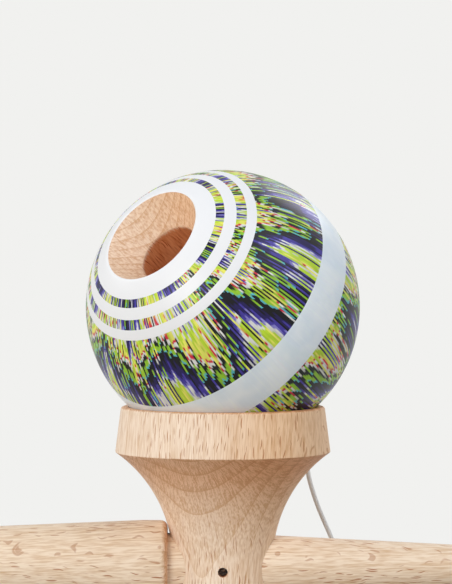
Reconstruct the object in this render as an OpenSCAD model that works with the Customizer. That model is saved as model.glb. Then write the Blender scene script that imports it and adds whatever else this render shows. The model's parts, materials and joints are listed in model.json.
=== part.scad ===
// Kendama: a turned beech handle (ken) pushed through a turned beech cross piece (sarado),
// a lacquered wooden ball (tama) resting in the big cup, and the string that ties them.
// Millimetres. The small cup's rim stands on z = 0 and the sarado's axis is the Z axis.
// The ken lies along X, with its spike to +X and its base cup to -X.

/* [Tama] */
// Diameter of the ball
tama_d = 61; // [56:0.5:66]
// Diameter of the spike hole's straight wall
hole_d = 14; // [12:0.5:16]
// Diameter of the bevelled mouth, where it meets the ball's surface
hole_mouth_d = 23.4; // [19:0.2:26]
// Depth of the bevel, from the mouth
hole_bevel = 7; // [4:0.5:9]
// Length of the straight wall below the bevel
hole_wall = 22; // [16:1:25]
// Length of the funnel from the straight wall to the string's hole
hole_funnel = 15; // [14.5:0.5:18]
// Diameter of the string's hole through the far side
tama_string_hole_d = 2.6; // [1.8:0.1:3.4]
// Angle of the spike hole above the horizontal
hole_rise = 35.5; // [20:0.5:50]
// Compass heading of the spike hole, counted from +X towards +Y
hole_heading = 227; // [200:1:250]

/* [Sarado] */
// Outer diameter of the big cup at its rim
big_rim_d = 45.4; // [43:0.2:47]
// Diameter of the big cup at its crisp widest edge
big_edge_d = 48; // [47.2:0.2:52]
// Height of the big cup's band, from the edge to the rim
big_band = 10.1; // [6:0.1:14]
// Depth of the big cup's dish below its rim
big_depth = 14; // [12:0.5:15]
// Outer diameter of the small cup at its rim
small_rim_d = 42; // [39:0.2:44]
// Diameter of the small cup at its crisp widest edge
small_edge_d = 44.8; // [44.2:0.2:48]
// Height of the small cup's band
small_band = 9.6; // [6:0.1:14]
// Depth of the small cup's dish
small_depth = 12.5; // [9:0.5:14]
// Diameter of the waist between the cups
waist_d = 22.4; // [20:0.2:25]
// Length of the waist's straight stretch
waist_len = 2.6; // [1:0.2:6]
// Radius of the hollow flare from the waist to each cup's edge
flare_r = 30; // [24:1:40]
// Width of each cup's lip, from its outer side to its dish
lip_w = 1.6; // [1.4:0.1:2.6]
// Rounding of each cup's outer lip
lip_round = 0.7; // [0.3:0.1:1]
// Diameter of the two string holes in the waist
sarado_string_hole_d = 2.2; // [1.8:0.1:3]

/* [Ken] */
// Length from the sarado's axis to the spike's tip
spike_len = 72; // [55:1:90]
// Diameter of the spike's rounded tip
tip_d = 8.4; // [6:0.2:10]
// Diameter of the tapered tang on the handle's side of the sarado
tang_root_d = 15.2; // [14.8:0.1:16.5]
// Diameter of the tapered tang on the spike's side of the sarado
tang_tip_d = 14.2; // [12:0.1:14.6]
// Diameter of the collar that stops against the sarado
collar_d = 21; // [19:0.2:24]
// Length of the collar
collar_len = 6; // [3:0.5:12]
// Rounding of the collar's shoulder
shoulder_round = 1.5; // [1:0.1:2.2]
// Diameter of the grip where it starts to flare into the base cup
grip_d = 17.2; // [15:0.2:19]
// Length from the sarado's axis to the base cup's rim
base_len = 94; // [80:1:110]
// Outer diameter of the base cup at its rim
base_rim_d = 39.2; // [36:0.2:40.8]
// Diameter of the base cup at its crisp widest edge
base_edge_d = 41.6; // [41:0.2:45]
// Height of the base cup's band
base_band = 8.6; // [5:0.1:12]
// Depth of the base cup's dish
base_depth = 11.5; // [8:0.5:13]
// Radius of the hollow flare into the base cup
base_flare_r = 26; // [22:1:34]
// Diameter of the string's cross hole in the tang
ken_string_hole_d = 2.2; // [1.8:0.1:3]
// Diameter of the pocket that hides the knot in the tang
knot_pocket_d = 4.4; // [4:0.1:5.4]
// Depth of the knot's pocket, from the tang's surface
knot_pocket_depth = 4; // [3.2:0.1:5]

/* [String] */
// Diameter of the braided string
string_d = 1.1; // [0.8:0.1:1.5]
// Diameter of the stopper bead inside the ball
bead_d = 8; // [7:0.2:8.6]
// Length of the bead between its flat ends
bead_len = 7.3; // [6:0.1:7.6]
// Diameter of the bead's own hole
bead_hole_d = 1.7; // [1.6:0.1:2]
// Height of each stopper knot
knot_h = 2.6; // [2.4:0.1:3]

/* [Clearances] */
// Gap between the ball and the big cup's lip
seat_gap = 0.1; // [0.05:0.05:0.3]
// Radial gap between the tang and the sarado's bore
tang_gap = 0.05; // [0.02:0.01:0.1]
// Gap between the collar's shoulder and the sarado
shoulder_gap = 0.15; // [0.1:0.05:0.5]
// Gap between the bead and the funnel that it sits in
bead_gap = 0.1; // [0.05:0.05:0.3]
// Gap between stretches of string that move apart
string_gap = 0.1; // [0.05:0.05:0.3]

/* [Hidden] */
$fn = 96;

beech = [0.86, 0.69, 0.50];
lacquer = [0.90, 0.91, 0.88];
bead_wood = [0.80, 0.62, 0.43];
string_white = [0.95, 0.95, 0.93];

// Steps in each small rounding
round_steps = 6;
// How far a cutter runs past the face that it opens
past = 1;

// How far a knot's turns are pressed into the string that they go round
knot_press = 0.055;
// How far those turns stay inside the knot's flat ends
knot_inset = 0.15;

waist_r = waist_d / 2;
string_r = string_d / 2;

// Height of a hollow flare of radius arc_r that leaves a neck upright and ends at edge_r
function flare_h(neck_r, edge_r, arc_r) = sqrt(arc_r ^ 2 - (neck_r + arc_r - edge_r) ^ 2);

// Radius of the ball-shaped dish that is depth deep and in_r wide at the rim
function dish_r(in_r, depth) = (in_r ^ 2 + depth ^ 2) / (2 * depth);

small_h = waist_len / 2 + flare_h(waist_r, small_edge_d / 2, flare_r) + small_band;
big_h = waist_len / 2 + flare_h(waist_r, big_edge_d / 2, flare_r) + big_band;
ken_z = small_h;
big_rim_z = small_h + big_h;

// The ball touches the big cup on the inner edge of its lip.
tama_r = tama_d / 2;
big_in_r = big_rim_d / 2 - lip_w;
tama_z = big_rim_z + sqrt((tama_r + seat_gap) ^ 2 - big_in_r ^ 2);

// Heights along the spike hole, counted from the ball's centre
mouth_z = sqrt(tama_r ^ 2 - (hole_mouth_d / 2) ^ 2);
wall_top = mouth_z - hole_bevel;
wall_end = wall_top - hole_wall;
funnel_end = wall_end - hole_funnel;
funnel_angle = atan((hole_d - tama_string_hole_d) / 2 / hole_funnel);
bead_z = wall_end - hole_d / 2 / tan(funnel_angle) + (bead_d / 2 + bead_gap) / sin(funnel_angle);
bead_top = bead_z + bead_len / 2;

// Radius of the tang at x, one taper from the shoulder to the spike
function tang_r(x) = tang_root_d / 2 + (tang_tip_d - tang_root_d) / 2 * (x + waist_r) / waist_d;

// Radius of the sarado at a height away from the ken's axis
function sarado_r(dz) = waist_r + flare_r - sqrt(flare_r ^ 2 - max(0, dz - waist_len / 2) ^ 2);

shoulder_x = -sarado_r(collar_d / 2 - shoulder_round) - shoulder_gap;
collar_x = shoulder_x - collar_len;
grip_x = -base_len + base_band + flare_h(grip_d / 2, base_edge_d / 2, base_flare_r);
pocket_floor = tang_r(0) - knot_pocket_depth;

// Where the string leaves the ball, and the way it points there
exit_dir = -[cos(hole_rise) * cos(hole_heading), cos(hole_rise) * sin(hole_heading),
             sin(hole_rise)];
tama_exit = [0, 0, tama_z] + tama_r * exit_dir;

// The free string, from the ball to the hole in the sarado's back: straight out of the ball,
// down to the surface that the toy stands on, twice round in a loose loop behind the small
// cup, over its own first turn, and up to the waist.
string_lay = [
  [19.5, 21, 71], [19.6, 21.7, 63], [19.3, 21.6, 55], [21.3, 22.4, 47.2], [24.9, 23.8, 38.5],
  [28.8, 25.8, 29.5], [33.2, 28.8, 19.5], [39, 33, 10.3], [45.2, 39.2, 3.2], [51.5, 49, 0.8],
  [52.6, 62.5, 0.7], [47, 74.5, 0.7], [36, 82.5, 0.7], [22.5, 83.5, 0.7], [10.3, 78, 0.7],
  [2.6, 67, 0.7], [1.4, 53.5, 0.7], [7.2, 41.5, 0.7], [18.4, 34.3, 0.7], [31.2, 34.2, 0.7],
  [41.6, 40.6, 0.7], [47.2, 50.6, 0.7], [47.2, 61.5, 0.7], [42.3, 70.8, 0.7], [33.8, 76.8, 0.7],
  [23.5, 77.6, 0.7], [14.3, 73, 0.7], [8.6, 64.5, 0.9], [7.6, 55.5, 1.5], [8.4, 47, 2.3],
  [8.6, 39, 2.4], [7.6, 33, 1.8], [5.8, 28.6, 4.6], [3.8, 25.8, 12], [2, 23.6, 20.5]];
string_points = concat(
  [for (out = [string_gap, 2.6]) tama_exit + out * exit_dir],
  string_lay,
  [[0.4, waist_r + 7.6, ken_z - 3.6], [0, waist_r + 2.4, ken_z - 0.1],
   [0, tang_r(0) + tang_gap + string_gap, ken_z]]);

// Rings in each stretch between two of the string's points, and sides of the string
string_steps = 2;
string_sides = 8;
// Steps between the points on which the gap between the string's turns is measured, and how
// many points along the string belong to one and the same stretch there
gap_steps = 4;
same_stretch = 6;

// A smooth curve through the points p, cut into steps between each pair
function curve(p, steps) = concat(
  [for (i = [0 : len(p) - 2], s = [0 : steps - 1])
    let (a = p[max(i - 1, 0)], b = p[i], c = p[i + 1], d = p[min(i + 2, len(p) - 1)], t = s / steps)
      b + t / 2 * (c - a) + t ^ 2 * (a - 2.5 * b + 2 * c - d / 2)
        + t ^ 3 / 2 * (3 * b - a - 3 * c + d)],
  [p[len(p) - 1]]);

function unit(v) = v / norm(v);

// The direction of a path at each of its points
function headings(p) = [for (i = [0 : len(p) - 1])
  unit(p[min(i + 1, len(p) - 1)] - p[max(i - 1, 0)])];

// A side direction at each point, carried along the path without twisting
function sides(way) = [for (i = 0, s = unit(cross(way[0], [1, 0, 0])); i < len(way);
  i = i + 1, s = i < len(way) ? unit(s - (s * way[i]) * way[i]) : s) s];

function path_length(p) = len(p) < 2 ? 0
  : [for (i = 1, sum = norm(p[1] - p[0]); i < len(p);
      i = i + 1, sum = i < len(p) ? sum + norm(p[i] - p[i - 1]) : sum) sum][len(p) - 2];

// The least gap between a tube's surface and its own later turns, measured on its points
function own_gap(p, d) = min([for (i = [0 : len(p) - 1], j = [i + 1 : 1 : len(p) - 1])
  if (j - i > same_stretch) norm(p[i] - p[j]) - d]);

string_path = curve(string_points, string_steps);
echo(free_string_mm = path_length(string_path), rings = len(string_path));
echo(least_gap_to_itself_mm = own_gap(curve(string_points, gap_steps), string_d));

// Moves what is made along Z to lie along the spike hole, mouth up.
module along_hole() {
  translate([0, 0, tama_z]) rotate([0, 90 - hole_rise, hole_heading]) children();
}

// Moves what is made along Z to lie along the ken, tip up.
module along_ken() {
  translate([0, 0, ken_z]) rotate([0, 90, 0]) children();
}

// Moves what is made along Z to lie along the string's cross hole, towards the back.
module along_cross_hole() {
  translate([0, 0, ken_z]) rotate([-90, 0, 0]) children();
}

// One turned cup on its neck at z = 0: a hollow flare up to the crisp edge, then a band that
// draws in to the rounded lip, and the dish inside.
module cup(neck_r, arc_r, edge_r, rim_r, band_h, depth) {
  edge_z = flare_h(neck_r, edge_r, arc_r);
  rim_z = edge_z + band_h;
  lip_z = rim_z - lip_round;
  share = edge_z / lip_z;
  foot_r = (edge_r - rim_r * share) / (1 - share);
  dish = dish_r(rim_r - lip_w, depth);
  difference() {
    rotate_extrude() difference() {
      polygon(concat([[0, 0], [foot_r, 0]],
        [for (a = [0 : 90 / round_steps : 90])
          [rim_r - lip_round, lip_z] + lip_round * [cos(a), sin(a)]],
        [[0, rim_z]]));
      translate([neck_r + arc_r, 0]) circle(r = arc_r);
    }
    translate([0, 0, rim_z - depth + dish]) sphere(r = dish);
  }
}

// A stopper knot on z = 0: two turns of string drawn tight round the string's own end.
module knot() {
  turn_r = string_d - knot_press;
  low = string_r + knot_inset;
  cylinder(r = turn_r, h = knot_h);
  for (z = [low, knot_h - low])
    translate([0, 0, z]) rotate_extrude() translate([turn_r, 0]) circle(r = string_r);
}

module sarado() {
  reach = waist_r + past;
  color(beech) difference() {
    union() {
      translate([0, 0, ken_z - waist_len / 2]) cylinder(r = waist_r, h = waist_len);
      translate([0, 0, ken_z + waist_len / 2])
        cup(waist_r, flare_r, big_edge_d / 2, big_rim_d / 2, big_band, big_depth);
      translate([0, 0, ken_z - waist_len / 2]) mirror([0, 0, 1])
        cup(waist_r, flare_r, small_edge_d / 2, small_rim_d / 2, small_band, small_depth);
    }
    along_ken() translate([0, 0, -reach])
      cylinder(r1 = tang_r(-reach) + tang_gap, r2 = tang_r(reach) + tang_gap, h = 2 * reach);
    along_cross_hole() translate([0, 0, -reach])
      cylinder(d = sarado_string_hole_d, h = 2 * reach);
  }
}

module ken() {
  spike_root = waist_r;
  tip_z = spike_len - tip_d / 2;
  color(beech) difference() {
    along_ken() union() {
      translate([0, 0, shoulder_x])
        cylinder(r1 = tang_r(shoulder_x), r2 = tang_r(spike_root), h = spike_root - shoulder_x);
      translate([0, 0, spike_root])
        cylinder(r1 = tang_r(spike_root), r2 = tip_d / 2, h = tip_z - spike_root);
      translate([0, 0, tip_z]) rotate_extrude() intersection() {
        circle(d = tip_d);
        square(tip_d / 2);
      }
      rotate_extrude() polygon(concat([[0, collar_x], [collar_d / 2, collar_x]],
        [for (a = [0 : 90 / round_steps : 90])
          [collar_d / 2 - shoulder_round, shoulder_x - shoulder_round]
            + shoulder_round * [cos(a), sin(a)]],
        [[0, shoulder_x]]));
      translate([0, 0, grip_x]) cylinder(d1 = grip_d, d2 = collar_d, h = collar_x - grip_x);
      translate([0, 0, grip_x]) mirror([0, 0, 1])
        cup(grip_d / 2, base_flare_r, base_edge_d / 2, base_rim_d / 2, base_band, base_depth);
    }
    along_cross_hole() {
      cylinder(d = ken_string_hole_d, h = waist_d, center = true);
      translate([0, 0, -waist_d]) cylinder(d = knot_pocket_d, h = waist_d - pocket_floor);
    }
  }
}

module tama() {
  mouth_r = hole_mouth_d / 2;
  bevel_slope = (mouth_r - hole_d / 2) / hole_bevel;
  bevel_h = tama_r - wall_top + past;
  color(lacquer) along_hole() difference() {
    sphere(r = tama_r);
    translate([0, 0, wall_top])
      cylinder(r1 = hole_d / 2, r2 = hole_d / 2 + bevel_slope * bevel_h, h = bevel_h);
    translate([0, 0, wall_end]) cylinder(d = hole_d, h = hole_wall);
    translate([0, 0, funnel_end])
      cylinder(d1 = tama_string_hole_d, d2 = hole_d, h = hole_funnel);
    translate([0, 0, -tama_r - past])
      cylinder(d = tama_string_hole_d, h = tama_r + past + funnel_end);
  }
}

module bead() {
  color(bead_wood) along_hole() translate([0, 0, bead_z]) difference() {
    intersection() {
      sphere(d = bead_d);
      cylinder(d = bead_d, h = bead_len, center = true);
    }
    cylinder(d = bead_hole_d, h = bead_d, center = true);
  }
}

module bead_knot() {
  color(string_white) along_hole() translate([0, 0, bead_top]) knot();
}

module string_in_tama() {
  color(string_white) along_hole() translate([0, 0, -tama_r])
    cylinder(r = string_r, h = tama_r + bead_top);
}

module string_free() {
  way = headings(string_path);
  side = sides(way);
  rings = len(string_path);
  n = string_sides;
  points = [for (i = [0 : rings - 1], k = [0 : n - 1])
    string_path[i] + string_r * (cos(360 * k / n) * side[i]
      + sin(360 * k / n) * cross(way[i], side[i]))];
  walls = [for (i = [0 : rings - 2], k = [0 : n - 1])
    let (a = i * n + k, b = i * n + (k + 1) % n)
      each [[a, a + n, b], [b, a + n, b + n]]];
  near_end = [for (k = [1 : n - 2]) [0, k, k + 1]];
  last = (rings - 1) * n;
  far_end = [for (k = [1 : n - 2]) [last, last + k + 1, last + k]];
  color(string_white) polyhedron(points, concat(walls, near_end, far_end), convexity = 10);
}

module string_in_ken() {
  color(string_white) along_cross_hole() translate([0, 0, -pocket_floor])
    cylinder(r = string_r, h = pocket_floor + tang_r(0) - string_gap);
}

module ken_knot() {
  color(string_white) along_cross_hole() translate([0, 0, -pocket_floor]) mirror([0, 0, 1]) knot();
}

ken();
sarado();
tama();
bead();
bead_knot();
string_in_tama();
string_free();
string_in_ken();
ken_knot();
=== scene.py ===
"""A kendama: a beech handle (ken) through a beech double cup (sarado), with a printed ball
(tama) resting in the big cup, its stopper bead, and the braided string that ties them."""

import json
import math

import bmesh
import bpy
from mathutils import Matrix, Vector


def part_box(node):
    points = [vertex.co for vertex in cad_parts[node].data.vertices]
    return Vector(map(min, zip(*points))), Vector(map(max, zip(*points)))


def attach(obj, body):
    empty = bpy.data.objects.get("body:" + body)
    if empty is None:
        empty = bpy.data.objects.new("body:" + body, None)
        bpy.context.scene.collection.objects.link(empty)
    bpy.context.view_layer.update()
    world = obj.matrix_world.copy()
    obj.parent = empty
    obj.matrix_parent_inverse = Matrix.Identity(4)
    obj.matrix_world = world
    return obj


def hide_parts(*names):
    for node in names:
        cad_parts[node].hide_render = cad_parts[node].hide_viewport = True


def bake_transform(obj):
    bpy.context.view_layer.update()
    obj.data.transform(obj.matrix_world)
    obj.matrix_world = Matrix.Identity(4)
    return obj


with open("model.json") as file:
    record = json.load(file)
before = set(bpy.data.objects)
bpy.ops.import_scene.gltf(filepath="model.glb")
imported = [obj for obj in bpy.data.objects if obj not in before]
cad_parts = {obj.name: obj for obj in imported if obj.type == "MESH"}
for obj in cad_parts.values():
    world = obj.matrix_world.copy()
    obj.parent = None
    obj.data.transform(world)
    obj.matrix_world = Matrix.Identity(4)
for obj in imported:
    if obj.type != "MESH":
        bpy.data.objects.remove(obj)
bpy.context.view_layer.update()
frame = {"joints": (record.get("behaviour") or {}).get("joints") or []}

# The sarado, the cross piece with the big and the small cup. It is turned from one blank of
# beech, sanded and left bare. Its cross bore takes the ken, and a hole on each side of the
# waist takes the string.
MM = 0.001
SMALL_RIM_R, SMALL_EDGE_R, SMALL_BAND, SMALL_DEPTH = 21.0, 22.4, 9.6, 12.5
BIG_RIM_R, BIG_EDGE_R, BIG_BAND, BIG_DEPTH = 22.7, 24.0, 10.1, 14.0
WAIST_R, WAIST_LEN, FLARE_R = 11.2, 2.6, 30.0
LIP_W, LIP_OUTER_ROUND, LIP_INNER_ROUND, EDGE_ROUND = 1.6, 0.7, 0.3, 0.3
TANG_ROOT_R, TANG_TIP_R, TANG_GAP = 7.6, 7.1, 0.05
STRING_HOLE_R = 1.1


def arc(centre, radius, start, stop, steps):
    """Points of an outline on a circle, from one angle to another, in radians."""
    angles = [start + (stop - start) * k / steps for k in range(steps + 1)]
    return [(centre[0] + radius * math.cos(a), centre[1] + radius * math.sin(a)) for a in angles]


def eased(outline, steps=5):
    """The outline with each corner (radius, height, rounding) turned into a small arc."""
    smooth = []
    for before, corner, after in zip(outline[-1:] + outline, outline, outline[1:] + outline[:1]):
        if len(corner) == 2:
            smooth.append(corner)
            continue
        point, rounding = Vector(corner[:2]), corner[2]
        back = (Vector(before[:2]) - point).normalized()
        ahead = (Vector(after[:2]) - point).normalized()
        half = back.angle(ahead) / 2
        middle = point + (back + ahead).normalized() * rounding / math.sin(half)
        first = point + back * rounding / math.tan(half) - middle
        last = point + ahead * rounding / math.tan(half) - middle
        smooth += [tuple(middle + rounding * first.slerp(last, k / steps)) for k in range(steps + 1)]
    return smooth


def cup(neck_r, flare_r, edge_r, rim_r, band, depth):
    """A turned cup's outline, from its neck at height 0 up to the middle of its dish."""
    swing = math.acos((neck_r + flare_r - edge_r) / flare_r)
    edge_h = flare_r * math.sin(swing)
    rim_h = edge_h + band
    in_r = rim_r - LIP_W
    dish_r = (in_r ** 2 + depth ** 2) / (2 * depth)
    dish_centre = (0, rim_h - depth + dish_r)
    flare = arc((neck_r + flare_r, 0), flare_r, math.pi, math.pi - swing, 40)
    dish = arc(dish_centre, dish_r, -math.acos(in_r / dish_r), -math.pi / 2, 36)
    lip = [(edge_r, edge_h, EDGE_ROUND), (rim_r, rim_h, LIP_OUTER_ROUND), (in_r, rim_h, LIP_INNER_ROUND)]
    return flare[:-1] + lip + dish[1:-1] + [(0, rim_h - depth)], rim_h


def finished(name, shape):
    """The piece that a finished bmesh gives, smooth and in the scene."""
    mesh = bpy.data.meshes.new(name)
    shape.to_mesh(mesh)
    shape.free()
    mesh.shade_smooth()
    piece = bpy.data.objects.new(name, mesh)
    bpy.context.scene.collection.objects.link(piece)
    return piece


def turned(name, outline, lathe=Matrix.Identity(4), closed=False, turns=192):
    """A piece turned on a lathe, whose matrix says where its Z axis lies. The outline's points are
    (radius, height) in mm, from axis to axis, or right round a piece with a hole along its axis."""
    shape = bmesh.new()
    rings = []
    for radius, height in outline:
        angles = [math.tau * k / turns for k in range(turns if radius > 0 else 1)]
        ring = [(radius * math.cos(a), radius * math.sin(a), height) for a in angles]
        rings.append([shape.verts.new(Vector(point) * MM) for point in ring])
    for low, high in zip(rings, rings[1:] + rings[:1] if closed else rings[1:]):
        for k in range(turns):
            corners = [low[k % len(low)], low[(k + 1) % turns % len(low)],
                       high[(k + 1) % turns % len(high)], high[k % len(high)]]
            shape.faces.new(dict.fromkeys(corners))
    bmesh.ops.recalc_face_normals(shape, faces=shape.faces)
    shape.transform(lathe)
    return finished(name, shape)


def drilled(piece, drills):
    """Cuts the drills' shapes out of a piece, takes them away and keeps the cut edges crisp."""
    for drill in drills:
        cut = piece.modifiers.new("drill", "BOOLEAN")
        cut.operation, cut.solver, cut.object = "DIFFERENCE", "EXACT", drill
    now = bpy.context.evaluated_depsgraph_get()
    mesh = bpy.data.meshes.new_from_object(piece.evaluated_get(now))
    piece.modifiers.clear()
    piece.data = mesh
    for drill in drills:
        bpy.data.objects.remove(drill)
    mesh.set_sharp_from_angle(angle=math.radians(35))


def linear(code):
    """An sRGB hex colour as the linear one that shaders take."""
    parts = [int(code[k:k + 2], 16) / 255 for k in (1, 3, 5)]
    return [c / 12.92 if c <= 0.04045 else ((c + 0.055) / 1.055) ** 2.4 for c in parts] + [1.0]


def add(tree, kind, inputs, **settings):
    """Adds a node with its settings, and sets its inputs or links them to other nodes."""
    node = tree.nodes.new("ShaderNode" + kind)
    for name, value in settings.items():
        setattr(node, name, value)
    for name, value in inputs.items():
        socket = node.inputs[name]
        if isinstance(name, str):
            socket = next(s for s in node.inputs if s.name == name and s.enabled)
        if isinstance(value, bpy.types.Node):
            value = next(s for s in value.outputs if s.enabled)
        if isinstance(value, bpy.types.NodeSocket):
            tree.links.new(value, socket)
        else:
            socket.default_value = value
    return node


def surface(name):
    """A new material, its node tree and the shader at the tree's end."""
    material = bpy.data.materials.new(name)
    material.use_nodes = True
    return material, material.node_tree, material.node_tree.nodes["Principled BSDF"]


def turned_beech(name, colours, lathe, ring_mm, pith_mm, pith_turn, pith_lean,
                 ring_end_mm=0.0, hatching=0.8, redder_mm=-900.0, plain_mm=900.0, shaded_below_mm=-900.0):
    """European beech, turned and fine sanded, left bare: pale pinkish straw with soft growth
    rings, and the short dark flecks of its rays, which lie along the grain. It has only a faint
    silk. The middle of its log, the pith, lay that many mm from the piece's axis, and a ring ends
    ring_end_mm from it. On end grain, hatching is the strength of the fine lines. From redder_mm
    on, the wood grows redder and darker to one side: partly a board's uneven colour, partly
    painted shade on the side away from the key lamp. From plain_mm on it has fewer flecks to the
    other. Below shaded_below_mm along the lathe's axis, a drilled wall is darkened with painted
    shade, for the shadow deep in the hole, raggedly at its edge."""
    wander_mm, wander_len_mm, wander_rings = 16.0, 90.0, 0.45
    fibre_mm, fibre_len_mm, ray_mm, ray_len_mm = 0.36, 4.5, 0.42, 2.4
    fleck_gap_mm, fleck_len_mm, fleck_deep_mm = 0.29, 4.8, 7.0
    stray_mm, stray_run_mm = 1.0, 4.0
    # The redder side, partly a board's colour and partly painted shade, fades in over the first distance.
    blush_and_shade_fade_mm, plain_fade_mm = 15.0, 6.0
    # The ragged edge and fade of the painted shade deep in a drilled hole, in mm
    bore_shade_rag_mm, bore_shade_none_mm, bore_shade_full_mm = 3.0, 1.5, 0.7
    pore_deep_mm = 0.06
    pale, late, fleck = [linear(code) for code in colours]
    # The second tint is partly painted shade on one side; the third is painted shade deep in a drilled hole.
    soaked_tint, blush_and_shade_tint, bore_shade_tint = [linear(code) for code in ("#F0D6C2", "#FAE6CE", "#E0A780")]
    material, tree, shader = surface(name)
    off_axis = Matrix.Rotation(pith_turn, 4, "Z") @ Matrix.Translation((-pith_mm * MM, 0, 0))
    pith = lathe @ off_axis @ Matrix.Rotation(pith_lean, 4, "Y")
    spot = add(tree, "TexCoord", {})
    place = spot.outputs["Object"]
    in_log = add(tree, "Mapping", {"Vector": place, "Location": pith.to_translation(),
                                   "Rotation": pith.to_euler()}, vector_type="TEXTURE")
    log = add(tree, "VectorMath", {"Vector": in_log, "Scale": 1 / MM}, operation="SCALE")
    axes = add(tree, "SeparateXYZ", {"Vector": log})
    across = add(tree, "CombineXYZ", {"X": axes.outputs["X"], "Y": axes.outputs["Y"]})
    from_pith = add(tree, "VectorMath", {0: across}, operation="LENGTH").outputs["Value"]
    angle = add(tree, "Math", {0: axes.outputs["Y"], 1: axes.outputs["X"]}, operation="ARCTAN2")
    around = add(tree, "Math", {0: angle, 1: pith_mm}, operation="MULTIPLY")

    # A face across the grain, cut through the ends of the fibres, shows most of the rings and
    # drinks in the light, so it looks darker and redder.
    in_log_facing = add(tree, "Mapping", {"Vector": spot.outputs["Normal"],
                                          "Rotation": pith.to_euler()}, vector_type="TEXTURE")
    facing = add(tree, "SeparateXYZ", {"Vector": in_log_facing})
    across_grain = add(tree, "Math", {0: facing.outputs["Z"]}, operation="ABSOLUTE")
    thirst = add(tree, "MapRange", {"Value": across_grain, "From Min": 0.15, "From Max": 0.75})

    # Growth rings: each darkens slowly outwards and ends in a fine line.
    drawn_out = add(tree, "VectorMath", {0: log, 1: (wander_mm, wander_mm, wander_len_mm)},
                    operation="DIVIDE")
    wander = add(tree, "TexNoise", {"Vector": drawn_out, "Scale": 1.0, "Detail": 1.0})
    drift = add(tree, "MapRange", {"Value": wander, "To Min": -wander_rings, "To Max": wander_rings})
    past_end = add(tree, "Math", {0: from_pith, 1: ring_end_mm}, operation="SUBTRACT")
    ring = add(tree, "Math", {0: past_end, 1: 1 / ring_mm, 2: drift}, operation="MULTIPLY_ADD")
    in_ring = add(tree, "Math", {0: ring}, operation="FRACT")
    line = add(tree, "Math", {0: in_ring, 1: 16.0}, operation="POWER")
    late_wood = add(tree, "Math", {0: in_ring, 1: 2.0}, operation="POWER")
    grown = add(tree, "Math", {0: late_wood, 1: 0.65}, operation="MULTIPLY")
    ringed = add(tree, "Math", {0: line, 1: 0.8, 2: grown}, operation="MULTIPLY_ADD")
    bared = add(tree, "MapRange", {"Value": thirst, "To Min": 0.32, "To Max": 1.0})
    darkening = add(tree, "Math", {0: ringed, 1: bared}, operation="MULTIPLY")

    # Fibres: fine streaks along the grain, and on end grain fine lines away from the pith.
    unrolled = add(tree, "CombineXYZ", {"X": from_pith, "Y": around, "Z": axes.outputs["Z"]})
    streak_at = add(tree, "VectorMath", {0: unrolled, 1: (fibre_mm, fibre_mm, fibre_len_mm)},
                    operation="DIVIDE")
    fibres = add(tree, "TexNoise", {"Vector": streak_at, "Scale": 1.0, "Detail": 2.0})
    hatch_at = add(tree, "VectorMath", {0: unrolled, 1: (ray_len_mm, ray_mm, ray_len_mm)},
                   operation="DIVIDE")
    hatch = add(tree, "TexNoise", {"Vector": hatch_at, "Scale": 1.0, "Detail": 1.0})
    hatched = add(tree, "MapRange", {"Value": hatch, "From Min": 0.3, "From Max": 0.7,
                                     "To Min": -hatching, "To Max": hatching})

    # Rays: thin plates that stand out from the pith, cut as flecks on a face along the grain and
    # as fine lines on a face across it. Where a plate is cut flat, it shows less. Real ones are
    # about 0.1 mm thick, and are drawn up to twice as thick so that they show.
    waver = add(tree, "TexNoise", {"Vector": log, "Scale": 1 / stray_run_mm, "Detail": 1.0})
    strayed = add(tree, "Math", {0: waver, 1: stray_mm, 2: axes.outputs["Y"]}, operation="MULTIPLY_ADD")
    in_plates = add(tree, "CombineXYZ", {"X": strayed, "Y": axes.outputs["Z"], "Z": from_pith})
    plate_at = add(tree, "VectorMath", {0: in_plates, 1: (fleck_gap_mm, fleck_len_mm, fleck_deep_mm)},
                   operation="DIVIDE")
    plates = add(tree, "TexVoronoi", {"Vector": plate_at, "Scale": 1.0})
    chance = add(tree, "SeparateXYZ", {"Vector": plates.outputs["Color"]})
    reach = add(tree, "MapRange", {"Value": chance, "To Min": 0.18, "To Max": 0.36})
    core = add(tree, "Math", {0: reach, 1: 0.65}, operation="MULTIPLY")
    plate = add(tree, "MapRange", {"Value": plates, "From Min": reach, "From Max": core},
                interpolation_type="SMOOTHSTEP")
    flatness = add(tree, "Math", {0: facing.outputs["Y"]}, operation="ABSOLUTE")
    edge_on = add(tree, "MapRange", {"Value": flatness, "From Min": 0.8, "From Max": 0.97,
                                     "To Min": 1.0, "To Max": 0.5})
    plain = add(tree, "MapRange", {"Value": axes.outputs["Y"], "From Min": plain_mm,
                                   "From Max": plain_mm + plain_fade_mm,
                                   "To Min": 1.0, "To Max": 0.25})
    shown = add(tree, "Math", {0: edge_on, 1: plain}, operation="MULTIPLY")
    flecks = add(tree, "Math", {0: plate, 1: shown}, operation="MULTIPLY")

    # Colour: pale wood darkens to late wood with the rings and fibres, then end grain, the redder
    #     side, which is partly painted shade, and the flecks are laid over it.
    tint = add(tree, "MapRange", {"Value": fibres, "From Min": 0.3, "From Max": 0.7,
                                  "To Min": -0.3, "To Max": 0.8})
    along = add(tree, "Math", {0: darkening, 1: tint}, operation="ADD")
    aged = add(tree, "Math", {0: hatched, 1: thirst, 2: along}, operation="MULTIPLY_ADD", use_clamp=True)
    body = add(tree, "Mix", {"Factor": aged, "A": pale, "B": late}, data_type="RGBA")
    soak = add(tree, "Math", {0: thirst, 1: 2.0}, operation="POWER")
    soaked = add(tree, "Mix", {"Factor": soak, "A": body, "B": soaked_tint},
                 data_type="RGBA", blend_type="MULTIPLY")
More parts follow.
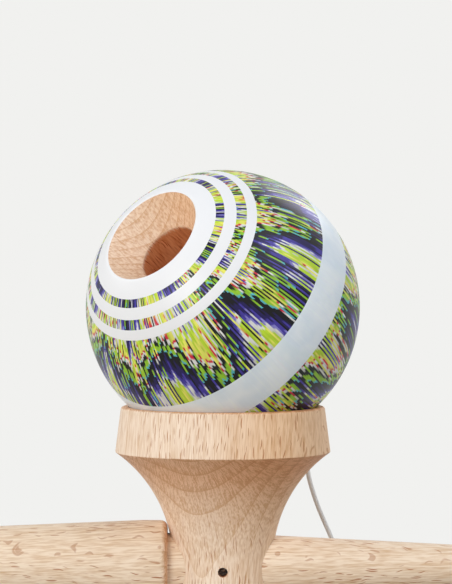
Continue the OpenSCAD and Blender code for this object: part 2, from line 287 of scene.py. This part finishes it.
    # The redder, darker side: a board's uneven colour, and painted shade on the side away from the key lamp.
    blush_and_shade_side = add(tree, "MapRange", {"Value": axes.outputs["Y"], "From Min": redder_mm,
                                   "From Max": redder_mm - blush_and_shade_fade_mm})
    blushed_and_shaded = add(tree, "Mix", {"Factor": blush_and_shade_side, "A": soaked.outputs[2], "B": blush_and_shade_tint},
                  data_type="RGBA", blend_type="MULTIPLY")
    depth = add(tree, "MapRange", {"Value": thirst, "From Max": 0.6, "To Min": 0.95, "To Max": 0.2})
    veil = add(tree, "Math", {0: flecks, 1: depth}, operation="MULTIPLY")
    flecked = add(tree, "Mix", {"Factor": veil, "A": blushed_and_shaded.outputs[2], "B": fleck}, data_type="RGBA")

    # Painted shade: a drilled wall is darkened deep in its hole, where shadow falls, raggedly at its edge.
    on_lathe = add(tree, "Mapping", {"Vector": place, "Location": lathe.to_translation(),
                                     "Rotation": lathe.to_euler()}, vector_type="TEXTURE")
    height = add(tree, "SeparateXYZ", {"Vector": on_lathe}).outputs["Z"]
    ragged = add(tree, "Math", {0: fibres, 1: bore_shade_rag_mm * MM, 2: height}, operation="MULTIPLY_ADD")
    painted_bore_shade = add(tree, "MapRange", {"Value": ragged, "From Min": (shaded_below_mm + bore_shade_none_mm) * MM,
                                  "From Max": (shaded_below_mm + bore_shade_full_mm) * MM})
    colour = add(tree, "Mix", {"Factor": painted_bore_shade, "A": flecked.outputs[2], "B": bore_shade_tint},
                 data_type="RGBA", blend_type="MULTIPLY")

    # Surface: the flecks and pores are open and duller than the sanded wood round them.
    hollow = add(tree, "Math", {0: flecks, 1: -0.8, 2: fibres}, operation="MULTIPLY_ADD")
    relief = add(tree, "Bump", {"Height": hollow, "Strength": 0.35, "Distance": pore_deep_mm * MM})
    dullness = add(tree, "MapRange", {"Value": hollow, "From Min": -0.5, "From Max": 1.0,
                                      "To Min": 0.66, "To Max": 0.48})
    tree.links.new(colour.outputs[2], shader.inputs["Base Color"])
    tree.links.new(dullness.outputs[0], shader.inputs["Roughness"])
    tree.links.new(relief.outputs[0], shader.inputs["Normal"])
    shader.inputs["IOR"].default_value = 1.52
    return material


small_cup, small_h = cup(WAIST_R, FLARE_R, SMALL_EDGE_R, SMALL_RIM_R, SMALL_BAND, SMALL_DEPTH)
big_cup, big_h = cup(WAIST_R, FLARE_R, BIG_EDGE_R, BIG_RIM_R, BIG_BAND, BIG_DEPTH)
ken_z = small_h + WAIST_LEN / 2
below = [(p[0], small_h - p[1], *p[2:]) for p in reversed(small_cup)]
above = [(p[0], small_h + WAIST_LEN + p[1], *p[2:]) for p in big_cup]
sarado = turned("sarado_turned", eased(below + above))

lie_along_x = Matrix.Translation((0, 0, ken_z * MM)) @ Matrix.Rotation(math.pi / 2, 4, "Y")
lie_along_y = Matrix.Translation((0, 0, ken_z * MM)) @ Matrix.Rotation(-math.pi / 2, 4, "X")
tang_slope = (TANG_TIP_R - TANG_ROOT_R) / (2 * WAIST_R)
tang_mid_r = (TANG_ROOT_R + TANG_TIP_R) / 2
past = WAIST_R + 2
bore = turned("bore", [(0, -past), (tang_mid_r - past * tang_slope + TANG_GAP, -past),
                       (tang_mid_r + past * tang_slope + TANG_GAP, past), (0, past)], lie_along_x)
string_hole = [(0, -past), (STRING_HOLE_R, -past), (STRING_HOLE_R, past), (0, past)]
drilled(sarado, [bore, turned("string_hole", string_hole, lie_along_y, turns=32)])
sarado.modifiers.new("even shading", "WEIGHTED_NORMAL").keep_sharp = True
# Its right side, away from the key lamp, is redder and darker: partly the board's colour, partly painted
# shade.
sarado.data.materials.append(turned_beech(
    "turned beech of the sarado", ("#F8E4CF", "#DAB895", "#AE6A34"), Matrix.Identity(4),
    ring_mm=3.95, pith_mm=70, pith_turn=math.radians(68), pith_lean=math.radians(7.3), ring_end_mm=39.0,
    redder_mm=-3.0, plain_mm=7.0))
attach(sarado, "sarado")
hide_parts("sarado")

# The ken, the handle: one turned stick of beech with the base cup at one end, the collar that
# stops against the sarado, the tapered tang that jams in its bore, and the spike. A cross hole
# takes the string and a pocket hides its knot.
BASE_RIM_R, BASE_EDGE_R, BASE_BAND, BASE_DEPTH, BASE_FLARE_R = 19.6, 20.8, 8.6, 11.5, 26.0
GRIP_R, COLLAR_R, COLLAR_LEN, SHOULDER_ROUND = 8.6, 10.5, 6.0, 1.5
SHOULDER_GAP = 0.15
GRIP_EASE, TANG_ROOT_ROUND, SPIKE_EASE = 20.0, 0.2, 8.0
TIP_R = 4.2
POCKET_R, POCKET_DEPTH = 2.2, 4.0

ken_low, ken_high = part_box("ken")
base_x, tip_x = ken_low.x / MM, ken_high.x / MM
base_cup, base_h = cup(GRIP_R, BASE_FLARE_R, BASE_EDGE_R, BASE_RIM_R, BASE_BAND, BASE_DEPTH)
handle_end = [(p[0], base_x + base_h - p[1], *p[2:]) for p in reversed(base_cup)]
bulge = COLLAR_R - SHOULDER_ROUND - WAIST_LEN / 2
shoulder_x = -(WAIST_R + FLARE_R - math.sqrt(FLARE_R ** 2 - bulge ** 2)) - SHOULDER_GAP
tip_ball = arc((0, tip_x - TIP_R), TIP_R, 0.0, math.pi / 2, 14)
stick = handle_end + [
    (COLLAR_R, shoulder_x - COLLAR_LEN, GRIP_EASE),
    (COLLAR_R, shoulder_x, SHOULDER_ROUND),
    (tang_mid_r + shoulder_x * tang_slope, shoulder_x, TANG_ROOT_ROUND),
    (TANG_TIP_R, WAIST_R, SPIKE_EASE)] + tip_ball[:-1] + [(0, tip_x)]
ken = turned("ken_turned", eased(stick), lie_along_x)
pocket_floor = tang_mid_r - POCKET_DEPTH
pocket = [(0, -past), (POCKET_R, -past), (POCKET_R, -pocket_floor), (0, -pocket_floor)]
drilled(ken, [turned("cross_hole", string_hole, lie_along_y, turns=32),
              turned("pocket", pocket, lie_along_y, turns=48)])
ken.modifiers.new("even shading", "WEIGHTED_NORMAL").keep_sharp = True
ken.data.materials.append(turned_beech(
    "turned beech of the ken", ("#F4E0C8", "#D6B490", "#A86632"), lie_along_x,
    ring_mm=3.2, pith_mm=57, pith_turn=math.radians(148), pith_lean=math.radians(2)))
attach(ken, "ken")
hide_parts("ken")

# The tama, the ball: turned beech with a bevelled spike hole that runs on as a funnel and a
# string hole. Outside it is sprayed white, printed with a flame-stitch pattern between plain
# white rings, and clear lacquered. The hole is bare wood.
TAMA_R = 30.5
MOUTH_R, BEVEL, HOLE_R, HOLE_WALL, HOLE_FUNNEL = 11.7, 7.0, 7.0, 22.0, 15.0
TAMA_STRING_HOLE_R = 1.3
MOUTH_ROUND, WALL_ROUND, FUNNEL_ROUND, FUNNEL_END_ROUND, EXIT_ROUND = 0.5, 0.8, 2.0, 0.5, 0.3
LACQUER_SKIN = 0.3
# The three white rings and the pale band: where each starts and ends, in degrees from the spike
# hole's axis, its paint, and how much of the print it hides
BAND_HIDES = 0.97
RINGS = [(0.0, 30.9, "#EEF0F3", 1.0), (34.3, 39.1, "#EEF0F3", 1.0), (43.1, 47.3, "#EEF0F3", 1.0),
         (79.1, 95.7, "#F1F9FE", BAND_HIDES)]
# The dyed bands of one flame, from its tip down: width in mm and colour
FLAME = [(4.6, "#0C0C12"), (3.0, "#241C58"), (2.6, "#4A40A6"), (0.9, "#8F8AD6"), (1.8, "#EAECE8"),
         (3.2, "#C4E43E"), (2.8, "#F0F06E"), (0.9, "#DB2B48"), (1.8, "#EAECE8"), (2.6, "#0F1814"),
         (3.0, "#9AD036"), (0.6, "#5DBFCE")]

spin = next(joint for joint in frame["joints"] if joint["name"] == "tama_spin")
hole_way = Vector(spin["axis"]).normalized()
hole_turn = Matrix.Rotation(math.atan2(hole_way.y, hole_way.x), 4, "Z")
hole_lean = Matrix.Rotation(math.acos(hole_way.z), 4, "Y")
lie_along_hole = Matrix.Translation(spin["pos_m"]) @ hole_turn @ hole_lean

mouth_h = math.sqrt(TAMA_R ** 2 - MOUTH_R ** 2)
wall_top = mouth_h - BEVEL
wall_end = wall_top - HOLE_WALL
funnel_end = wall_end - HOLE_FUNNEL
exit_h = -math.sqrt(TAMA_R ** 2 - TAMA_STRING_HOLE_R ** 2)
ball = arc((0, 0), TAMA_R, math.atan2(exit_h, TAMA_STRING_HOLE_R), math.atan2(mouth_h, MOUTH_R), 96)
tama = turned("tama_turned", eased(
    [(TAMA_STRING_HOLE_R, exit_h, EXIT_ROUND)] + ball[1:-1] + [
        (MOUTH_R, mouth_h, MOUTH_ROUND), (HOLE_R, wall_top, WALL_ROUND), (HOLE_R, wall_end, FUNNEL_ROUND),
        (TAMA_STRING_HOLE_R, funnel_end, FUNNEL_END_ROUND)]), lie_along_hole, closed=True)
tama.modifiers.new("even shading", "WEIGHTED_NORMAL")


def printed_lacquer(name):
    """Print under a clear satin lacquer: crisp colours with a soft sheen and no grain. The flames
    are dyed thread by thread, so each edge is feathered along the threads."""
    thread_mm, slip_mm, streak_mm, fray_mm = 0.42, 10.0, 5.0, 5.0
    flames, flame_tall_mm, uneven_mm, uneven_run_mm = 9, 15.0, 26.0, 15.0
    cloud_mm, peel_mm, peel_deep_mm = 7.0, 1.6, 0.05
    material, tree, shader = surface(name)
    place = add(tree, "TexCoord", {}).outputs["Object"]
    ball_at = add(tree, "Mapping", {"Vector": place, "Location": lie_along_hole.to_translation(),
                                    "Rotation": lie_along_hole.to_euler()}, vector_type="TEXTURE")
    mm = add(tree, "VectorMath", {"Vector": ball_at, "Scale": 1 / MM}, operation="SCALE")
    axes = add(tree, "SeparateXYZ", {"Vector": mm})
    across = add(tree, "CombineXYZ", {"X": axes.outputs["X"], "Y": axes.outputs["Y"]})
    off_axis = add(tree, "VectorMath", {0: across}, operation="LENGTH").outputs["Value"]
    slope = add(tree, "Math", {0: off_axis, 1: axes.outputs["Z"]}, operation="ARCTAN2")
    turn = add(tree, "Math", {0: axes.outputs["Y"], 1: axes.outputs["X"]}, operation="ARCTAN2")

    # Threads run from the hole to the far side. Most keep their place, and some slip far along.
    threads = round(math.tau * TAMA_R / thread_mm)
    thread_at = add(tree, "Math", {0: turn, 1: threads / math.tau}, operation="MULTIPLY")
    thread = add(tree, "Math", {0: thread_at}, operation="FLOOR")
    luck = add(tree, "TexWhiteNoise", {"W": thread}, noise_dimensions="1D")
    either_way = add(tree, "MapRange", {"Value": luck, "To Min": -1.0, "To Max": 1.0})
    slip = add(tree, "Math", {0: either_way, 1: 3.0}, operation="POWER")
    down = add(tree, "Math", {0: slope, 1: TAMA_R}, operation="MULTIPLY")
    slipped = add(tree, "Math", {0: slip, 1: slip_mm, 2: down}, operation="MULTIPLY_ADD")
    streak_at = add(tree, "CombineXYZ", {
        "X": add(tree, "Math", {0: luck, 1: 1000.0}, operation="MULTIPLY"),
        "Y": add(tree, "Math", {0: slipped, 1: streak_mm}, operation="DIVIDE")})
    streak = add(tree, "TexNoise", {"Vector": streak_at, "Scale": 1.0, "Detail": 1.0}, noise_dimensions="2D")
    frayed = add(tree, "Math", {0: streak, 1: fray_mm, 2: slipped}, operation="MULTIPLY_ADD")

    # Flames: the bands rise and fall round the ball, unevenly, as hand-dyed ones do.
    zigzag_at = add(tree, "Math", {0: thread, 1: flames / threads}, operation="MULTIPLY")
    zigzag = add(tree, "Math", {0: zigzag_at, 1: 0.5}, operation="PINGPONG")
    drift = add(tree, "TexNoise", {"Vector": mm, "Scale": 1 / uneven_run_mm, "Detail": 1.0})
    rise = add(tree, "Math", {0: zigzag, 1: 2 * flame_tall_mm, 2: frayed}, operation="MULTIPLY_ADD")
    uneven = add(tree, "Math", {0: drift, 1: uneven_mm, 2: rise}, operation="MULTIPLY_ADD")
    flame_mm = sum(width for width, _ in FLAME)
    flame_at = add(tree, "Math", {0: uneven, 1: flame_mm}, operation="DIVIDE")
    dye = add(tree, "ValToRGB", {"Fac": add(tree, "Math", {0: flame_at}, operation="FRACT")})
    stops = dye.color_ramp.elements
    start = 0.0
    for width, code in FLAME:
        for share in (0.15, 0.85):
            stops.new((start + share * width) / flame_mm).color = linear(code)
        start += width
    stops.remove(stops[0])
    stops.remove(stops[-1])
    tone = add(tree, "MapRange", {"Value": streak, "From Min": 0.25, "From Max": 0.75,
                                  "To Min": 0.7, "To Max": 1.02})
    toned = add(tree, "HueSaturation", {"Color": dye, "Value": tone})

    # Rings: each is masked off and sprayed over the print. The pale band is sprayed thin, so it
    # hides less than the white rings do and is a little cloudy.
    paint = add(tree, "ValToRGB", {"Fac": add(tree, "Math", {0: slope, 1: math.pi}, operation="DIVIDE")})
    paint.color_ramp.interpolation = "CONSTANT"
    edges = paint.color_ramp.elements
    edges.remove(edges[-1])
    for first, last, code, hides in RINGS:
        edge = edges.new(first / 180) if first else edges[0]
        edge.color = (*linear(code)[:3], hides)
        edges.new(last / 180).color = (*linear(code)[:3], 0.0)
    cloud = add(tree, "TexNoise", {"Vector": mm, "Scale": 1 / cloud_mm, "Detail": 2.0})
    patchy = add(tree, "MapRange", {"Value": cloud, "From Min": 0.38, "From Max": 0.62})
    thin = add(tree, "MapRange", {"Value": paint.outputs["Alpha"], "From Min": 1.0, "From Max": BAND_HIDES})
    cloudy = add(tree, "Math", {0: patchy, 1: thin}, operation="MULTIPLY")
    painted = add(tree, "Mix", {"Factor": cloudy, "A": paint.outputs["Color"], "B": linear("#E3F0FA")},
                  data_type="RGBA")
    colour = add(tree, "Mix", {"Factor": paint.outputs["Alpha"], "A": toned, "B": painted.outputs[2]},
                 data_type="RGBA")
    peel = add(tree, "TexNoise", {"Vector": mm, "Scale": 1 / peel_mm, "Detail": 1.0})
    relief = add(tree, "Bump", {"Height": peel, "Strength": 0.05, "Distance": peel_deep_mm * MM})
    tree.links.new(colour.outputs[2], shader.inputs["Base Color"])
    tree.links.new(relief.outputs[0], shader.inputs["Normal"])
    shader.inputs["Roughness"].default_value = 0.36
    shader.inputs["IOR"].default_value = 1.49
    shader.inputs["Specular IOR Level"].default_value = 0.27
    return material


tama.data.materials.append(printed_lacquer("printed satin lacquer"))
# The hole's wood: below the top of its wall it is darkened with painted shade.
tama.data.materials.append(turned_beech(
    "drilled beech of the ball", ("#FAEBD8", "#DEBC99", "#B06C38"), lie_along_hole,
    ring_mm=1.5, pith_mm=32, pith_turn=math.radians(-124), pith_lean=math.radians(4), hatching=0.45,
    redder_mm=1.0, shaded_below_mm=wall_top))
tama_centre = Vector(spin["pos_m"])
for face in tama.data.polygons:
    out = face.center - tama_centre
    face.material_index = 0 if TAMA_R - out.length / MM < LACQUER_SKIN else 1
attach(tama, "tama")
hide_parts("tama")

# The stopper bead: a small turned wooden bead with a hole, threaded on the string inside the
# ball. It wedges in the funnel and holds the ball on the string.
BEAD_R, BEAD_LEN, BEAD_HOLE_R, BEAD_GAP, BEAD_ROUND = 4.0, 7.3, 0.85, 0.1, 0.15

funnel_lean = math.atan((HOLE_R - TAMA_STRING_HOLE_R) / HOLE_FUNNEL)
bead_h = wall_end - HOLE_R / math.tan(funnel_lean) + (BEAD_R + BEAD_GAP) / math.sin(funnel_lean)
bead_face_r = math.sqrt(BEAD_R ** 2 - (BEAD_LEN / 2) ** 2)
bead_lean = math.atan2(BEAD_LEN / 2, bead_face_r)
bead_side = arc((0, 0), BEAD_R, -bead_lean, bead_lean, 24)
in_funnel = lie_along_hole @ Matrix.Translation((0, 0, bead_h * MM))
bead_low = [(radius, -BEAD_LEN / 2, BEAD_ROUND) for radius in (BEAD_HOLE_R, bead_face_r)]
bead_high = [(radius, BEAD_LEN / 2, BEAD_ROUND) for radius in (bead_face_r, BEAD_HOLE_R)]
bead = turned("bead_turned", eased(bead_low + bead_side[1:-1] + bead_high), in_funnel,
              closed=True, turns=64)
bead.data.materials.append(turned_beech(
    "turned beech of the bead", ("#DDBB92", "#C2946A", "#8A5836"), in_funnel,
    ring_mm=1.8, pith_mm=15, pith_turn=math.radians(-157), pith_lean=0.0))
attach(bead, "stopper")
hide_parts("bead")

# The string: white braided polyester, knotted above the bead, out through the far side of the
# ball, down to the floor in a loose double loop, into the sarado's back and through the tang,
# where its other knot sits in the pocket.
STRING_R, STRING_GAP, STRING_STEP = 0.55, 0.1, 0.25
# The free stretch from the ball to the sarado, as points in mm
STRING_LAY = [
    (19.5, 21, 71), (19.6, 21.7, 63), (19.3, 21.6, 55), (21.3, 22.4, 47.2), (24.9, 23.8, 38.5),
    (28.8, 25.8, 29.5), (33.2, 28.8, 19.5), (39, 33, 10.3), (45.2, 39.2, 3.2), (51.5, 49, 0.8),
    (52.6, 62.5, 0.7), (47, 74.5, 0.7), (36, 82.5, 0.7), (22.5, 83.5, 0.7), (10.3, 78, 0.7),
    (2.6, 67, 0.7), (1.4, 53.5, 0.7), (7.2, 41.5, 0.7), (18.4, 34.3, 0.7), (31.2, 34.2, 0.7),
    (41.6, 40.6, 0.7), (47.2, 50.6, 0.7), (47.2, 61.5, 0.7), (42.3, 70.8, 0.7), (33.8, 76.8, 0.7),
    (23.5, 77.6, 0.7), (14.3, 73, 0.7), (8.6, 64.5, 0.9), (7.6, 55.5, 1.5), (8.4, 47, 2.3),
    (8.6, 39, 2.4), (7.6, 33, 1.8), (5.8, 28.6, 4.6), (3.8, 25.8, 12), (2, 23.6, 20.5)]


def curve(points, step):
    """A smooth curve through the points, cut evenly into steps of about that length."""
    fine = []
    for i in range(len(points) - 1):
        a, b = points[max(i - 1, 0)], points[i]
        c, d = points[i + 1], points[min(i + 2, len(points) - 1)]
        cuts = max(2, math.ceil((c - b).length / step))
        for t in [k / cuts for k in range(cuts)]:
            fine.append(b + t / 2 * (c - a) + t ** 2 * (a - 2.5 * b + 2 * c - d / 2)
                        + t ** 3 / 2 * (3 * b - a - 3 * c + d))
    fine.append(points[-1])
    return fine


def braided(name, path, string_r):
    """A braided tube along a path in mm. Eight strands cross over and under each other. The real
    strands are 0.3 mm wide, and are drawn twice as wide so that they show."""
    sides, strands, cross_mm, relief = 16, 4, 1.3, 0.07
    shape = bmesh.new()
    rings, run = [], 0.0
    side = None
    for i, point in enumerate(path):
        way = (path[min(i + 1, len(path) - 1)] - path[max(i - 1, 0)]).normalized()
        side = way.orthogonal() if side is None else side
        side = (side - side.dot(way) * way).normalized()
        run += (point - path[i - 1]).length if i else 0.0
        ring = []
        for k in range(sides):
            one = strands * k / sides + run / cross_mm
            other = strands * k / sides - run / cross_mm
            on_top = (math.floor(one) + math.floor(other)) % 2 == 0
            crown = math.sin(math.pi * (one % 1 if on_top else other % 1))
            radius = string_r - relief * (1 - crown)
            a = math.tau * k / sides
            spot = point + radius * (math.cos(a) * side + math.sin(a) * way.cross(side))
            ring.append(shape.verts.new(spot * MM))
        rings.append(ring)
    for low, high in zip(rings, rings[1:]):
        for k in range(sides):
            shape.faces.new((low[k], low[(k + 1) % sides], high[(k + 1) % sides], high[k]))
    shape.faces.new(reversed(rings[0]))
    shape.faces.new(rings[-1])
    return finished(name, shape)


def braided_polyester(name):
    """Braided polyester filament, bleached white: soft and matt with a faint silky edge, a little
    greyer where handling has left its mark."""
    soil_mm, fuzz_mm, fuzz_deep_mm = 9.0, 0.15, 0.05
    material, tree, shader = surface(name)
    place = add(tree, "TexCoord", {}).outputs["Object"]
    soil = add(tree, "TexNoise", {"Vector": place, "Scale": 1 / (soil_mm * MM), "Detail": 2.0})
    colour = add(tree, "Mix", {"Factor": soil, "A": linear("#FAFAF8"), "B": linear("#EEEEEC")},
                 data_type="RGBA")
    fuzz = add(tree, "TexNoise", {"Vector": place, "Scale": 1 / (fuzz_mm * MM), "Detail": 1.0})
    relief = add(tree, "Bump", {"Height": fuzz, "Strength": 0.4, "Distance": fuzz_deep_mm * MM})
    tree.links.new(colour.outputs[2], shader.inputs["Base Color"])
    tree.links.new(relief.outputs[0], shader.inputs["Normal"])
    shader.inputs["Roughness"].default_value = 0.75
    shader.inputs["IOR"].default_value = 1.57
    shader.inputs["Sheen Weight"].default_value = 0.25
    return material


polyester = braided_polyester("braided white polyester")
exit_point = tama_centre / MM - TAMA_R * hole_way
tang_top = tang_mid_r + TANG_GAP + STRING_GAP
route = [exit_point - out * hole_way for out in (STRING_GAP, 2.6)]
route += [Vector(point) for point in STRING_LAY]
route += [Vector((0.4, WAIST_R + 7.6, ken_z - 3.6)), Vector((0, WAIST_R + 2.4, ken_z - 0.1)),
          Vector((0, tang_top, ken_z))]
free_path = curve(route, STRING_STEP)
string_free = braided("string_free_braided", free_path, STRING_R)
string_free.data.materials.append(polyester)
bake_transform(string_free)
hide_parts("string_free")

bead_top = bead_h + BEAD_LEN / 2
up_hole = [tama_centre / MM + hole_way * h for h in (-TAMA_R - STRING_GAP, -TAMA_R / 2, bead_top)]
string_in_tama = braided("string_in_tama_braided", curve(up_hole, STRING_STEP), STRING_R)
string_in_tama.data.materials.append(polyester)
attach(string_in_tama, "stopper")
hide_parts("string_in_tama")

through_tang = [Vector((0, y, ken_z)) for y in (tang_mid_r - STRING_GAP, 0, -pocket_floor)]
string_in_ken = braided("string_in_ken_braided", curve(through_tang, STRING_STEP), STRING_R)
string_in_ken.data.materials.append(polyester)
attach(string_in_ken, "ken")
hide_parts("string_in_ken")

# The two stopper knots, at the ends of the same braided string. It goes up, over, twice round
# itself and out, and is pulled tight.
KNOT_R, KNOT_TURN_R, KNOT_TOP, KNOT_DROP, KNOT_TURNS = 0.5, 1.02, 2.35, 1.75, 2.1
KNOT_HUMP, KNOT_TAIL, KNOT_STEP = 0.35, Vector((0.75, 0.45, 0.25)), 0.15


def stopper_knot(name, place, body, node):
    """A knot of braided string on the plane z = 0 of its place, tied round its own axis."""
    tied = [Vector((0, 0, h)) for h in (0, 0.8, 1.6, KNOT_TOP - 0.1)]
    steps, opening = 30, 4
    for k in range(steps + 1):
        a = math.tau * KNOT_TURNS * k / steps
        swing = min(1.0, k / opening)
        height = KNOT_TOP + KNOT_HUMP * math.sin(math.pi * swing) - KNOT_DROP * k / steps
        tied.append(Vector((KNOT_TURN_R * swing * math.cos(a), KNOT_TURN_R * swing * math.sin(a), height)))
    tied.append(tied[-1] + KNOT_TAIL)
    knot = braided(name, curve(tied, KNOT_STEP), KNOT_R)
    knot.matrix_world = place
    knot.data.materials.append(polyester)
    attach(knot, body)
    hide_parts(node)
    return knot


on_bead = lie_along_hole @ Matrix.Translation((0, 0, bead_top * MM))
bead_knot = stopper_knot("bead_knot_tied", on_bead, "stopper", "bead_knot")
in_pocket = lie_along_y @ Matrix.Translation((0, 0, -pocket_floor * MM)) @ Matrix.Rotation(math.pi, 4, "X")
ken_knot = stopper_knot("ken_knot_tied", in_pocket, "ken", "ken_knot")

# The stretch that the ken draws out of the sarado with it. At rest it is bunched up in the string
# hole, and it pays out evenly as the ken leaves.
DRAWN_FROM, DRAWN_TO, BUNCH = 6.8, 7.95, 0.5
drawn_rings = 360
ken_travel = next(joint for joint in frame["joints"] if joint["name"] == "ken_pull")["range_m"][1] / MM
drawn_path = [Vector((BUNCH - ken_travel * k / drawn_rings, 0, 0)) for k in range(drawn_rings + 1)]
string_drawn = braided("string_drawn_braided", drawn_path, STRING_R)
string_drawn.data.materials.append(polyester)
for vertex in string_drawn.data.vertices:
    share = min(1.0, max(0.0, (BUNCH - vertex.co.x / MM) / ken_travel))
    # The blend eases in and out, and this undoes it
    bunched = 0.5 - math.sin(math.asin(1 - 2 * share) / 3)
    vertex.co.x = (BUNCH - 2 * BUNCH * bunched) * MM
    vertex.co.y += (DRAWN_FROM + (DRAWN_TO - DRAWN_FROM) * share) * MM
    vertex.co.z += ken_z * MM
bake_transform(string_drawn)

# The floor: plain pale card, which turns into the same pale tone far away from the toy, so that
# no line shows where it ends.
PALE = "#F1F1EF"
# How far the card reaches, and where it starts and ends to turn pale, in metres from the toy
FLOOR_R, FADE_FROM, FADE_TO = 6.0, 0.1, 0.28


def looked_at(tree):
    """1 for a ray that shows the floor or the room to the eye, straight or in a gloss, and 0 for
    one that only lights the toy."""
    ray = add(tree, "LightPath", {})
    seen = ray.outputs["Is Camera Ray"]
    for way in ("Is Glossy Ray", "Is Transmission Ray"):
        seen = add(tree, "Math", {0: seen, 1: ray.outputs[way]}, operation="MAXIMUM")
    return seen


floor = turned("floor", [(0, 0), (FLOOR_R / MM, 0)], turns=64)
card, card_tree, card_shader = surface("pale card")
card_shader.inputs["Base Color"].default_value = linear("#F2F2EF")
card_shader.inputs["Roughness"].default_value = 0.9
card_dim = add(card_tree, "BsdfDiffuse", {"Color": linear("#A29C93")})
card_place = add(card_tree, "TexCoord", {}).outputs["Object"]
card_off = add(card_tree, "VectorMath", {0: card_place}, operation="LENGTH").outputs["Value"]
card_fade = add(card_tree, "MapRange", {"Value": card_off, "From Min": FADE_FROM, "From Max": FADE_TO,
                                        "To Min": 0.35}, interpolation_type="SMOOTHSTEP")
card_glow = add(card_tree, "Emission", {"Color": linear(PALE), "Strength": 1.0})
card_seen = add(card_tree, "MixShader", {0: card_fade, 1: card_shader, 2: card_glow})
card_mix = add(card_tree, "MixShader", {0: looked_at(card_tree), 1: card_dim, 2: card_seen})
card_tree.links.new(card_mix.outputs[0], card_tree.nodes["Material Output"].inputs["Surface"])
floor.data.materials.append(card)

# Studio light: a large soft lamp in front at the upper left, weaker ones at the left, right and
# back, and a pale room all round.
LOOK_AT = Vector((0, 0, 0.085))
LAMPS = [("key lamp", (-0.64, -1.08, 0.44), 0.65, 9.3, "#FFFCF8"),
         ("left lamp", (-1.07, 0.12, 0.62), 0.7, 3.3, "#F8FBFF"),
         ("right lamp", (0.78, -0.5, 0.95), 1.0, 6.1, "#F1F6FF"),
         ("back lamp", (0.5, 0.9, 0.8), 0.6, 3.0, "#FFFFFF")]

for name, place, size, watts, code in LAMPS:
    lamp = bpy.data.lights.new(name, "AREA")
    lamp.shape, lamp.size, lamp.energy, lamp.color = "DISK", size, watts, linear(code)[:3]
    holder = bpy.data.objects.new(name, lamp)
    holder.location = place
    holder.rotation_euler = (LOOK_AT - Vector(place)).to_track_quat("-Z", "Y").to_euler()
    bpy.context.scene.collection.objects.link(holder)

room = bpy.data.worlds.new("pale room")
room.use_nodes = True
room_tree = room.node_tree
room_light = add(room_tree, "Background", {"Color": linear("#F4F5F6"), "Strength": 0.37})
room_view = add(room_tree, "Background", {"Color": linear(PALE), "Strength": 1.0})
room_mix = add(room_tree, "MixShader", {0: looked_at(room_tree), 1: room_light, 2: room_view})
room_tree.links.new(room_mix.outputs[0], room_tree.nodes["World Output"].inputs["Surface"])
bpy.context.scene.world = room
bpy.context.scene.view_settings.view_transform = "Standard"

# The camera stands 0.8 m in front of the ball, a little above the big cup's rim, and looks
# slightly down through a long lens.
CAMERA_X, CAMERA_AWAY, CAMERA_ABOVE_RIM, CAMERA_DIP = 0.70, 800.0, 51.47, math.radians(1.86)
LENS_MM = 221.5

camera = bpy.data.objects.new("camera", bpy.data.cameras.new("camera"))
rim_z = ken_z + WAIST_LEN / 2 + big_h
camera.location = Vector((CAMERA_X, -CAMERA_AWAY, rim_z + CAMERA_ABOVE_RIM)) * MM
camera.rotation_euler = (math.pi / 2 - CAMERA_DIP, 0, 0)
camera.data.lens = LENS_MM
camera.data.sensor_width = 36.0
camera.data.clip_start, camera.data.clip_end = 0.05, 50.0
bpy.context.scene.collection.objects.link(camera)
bpy.context.scene.camera = camera
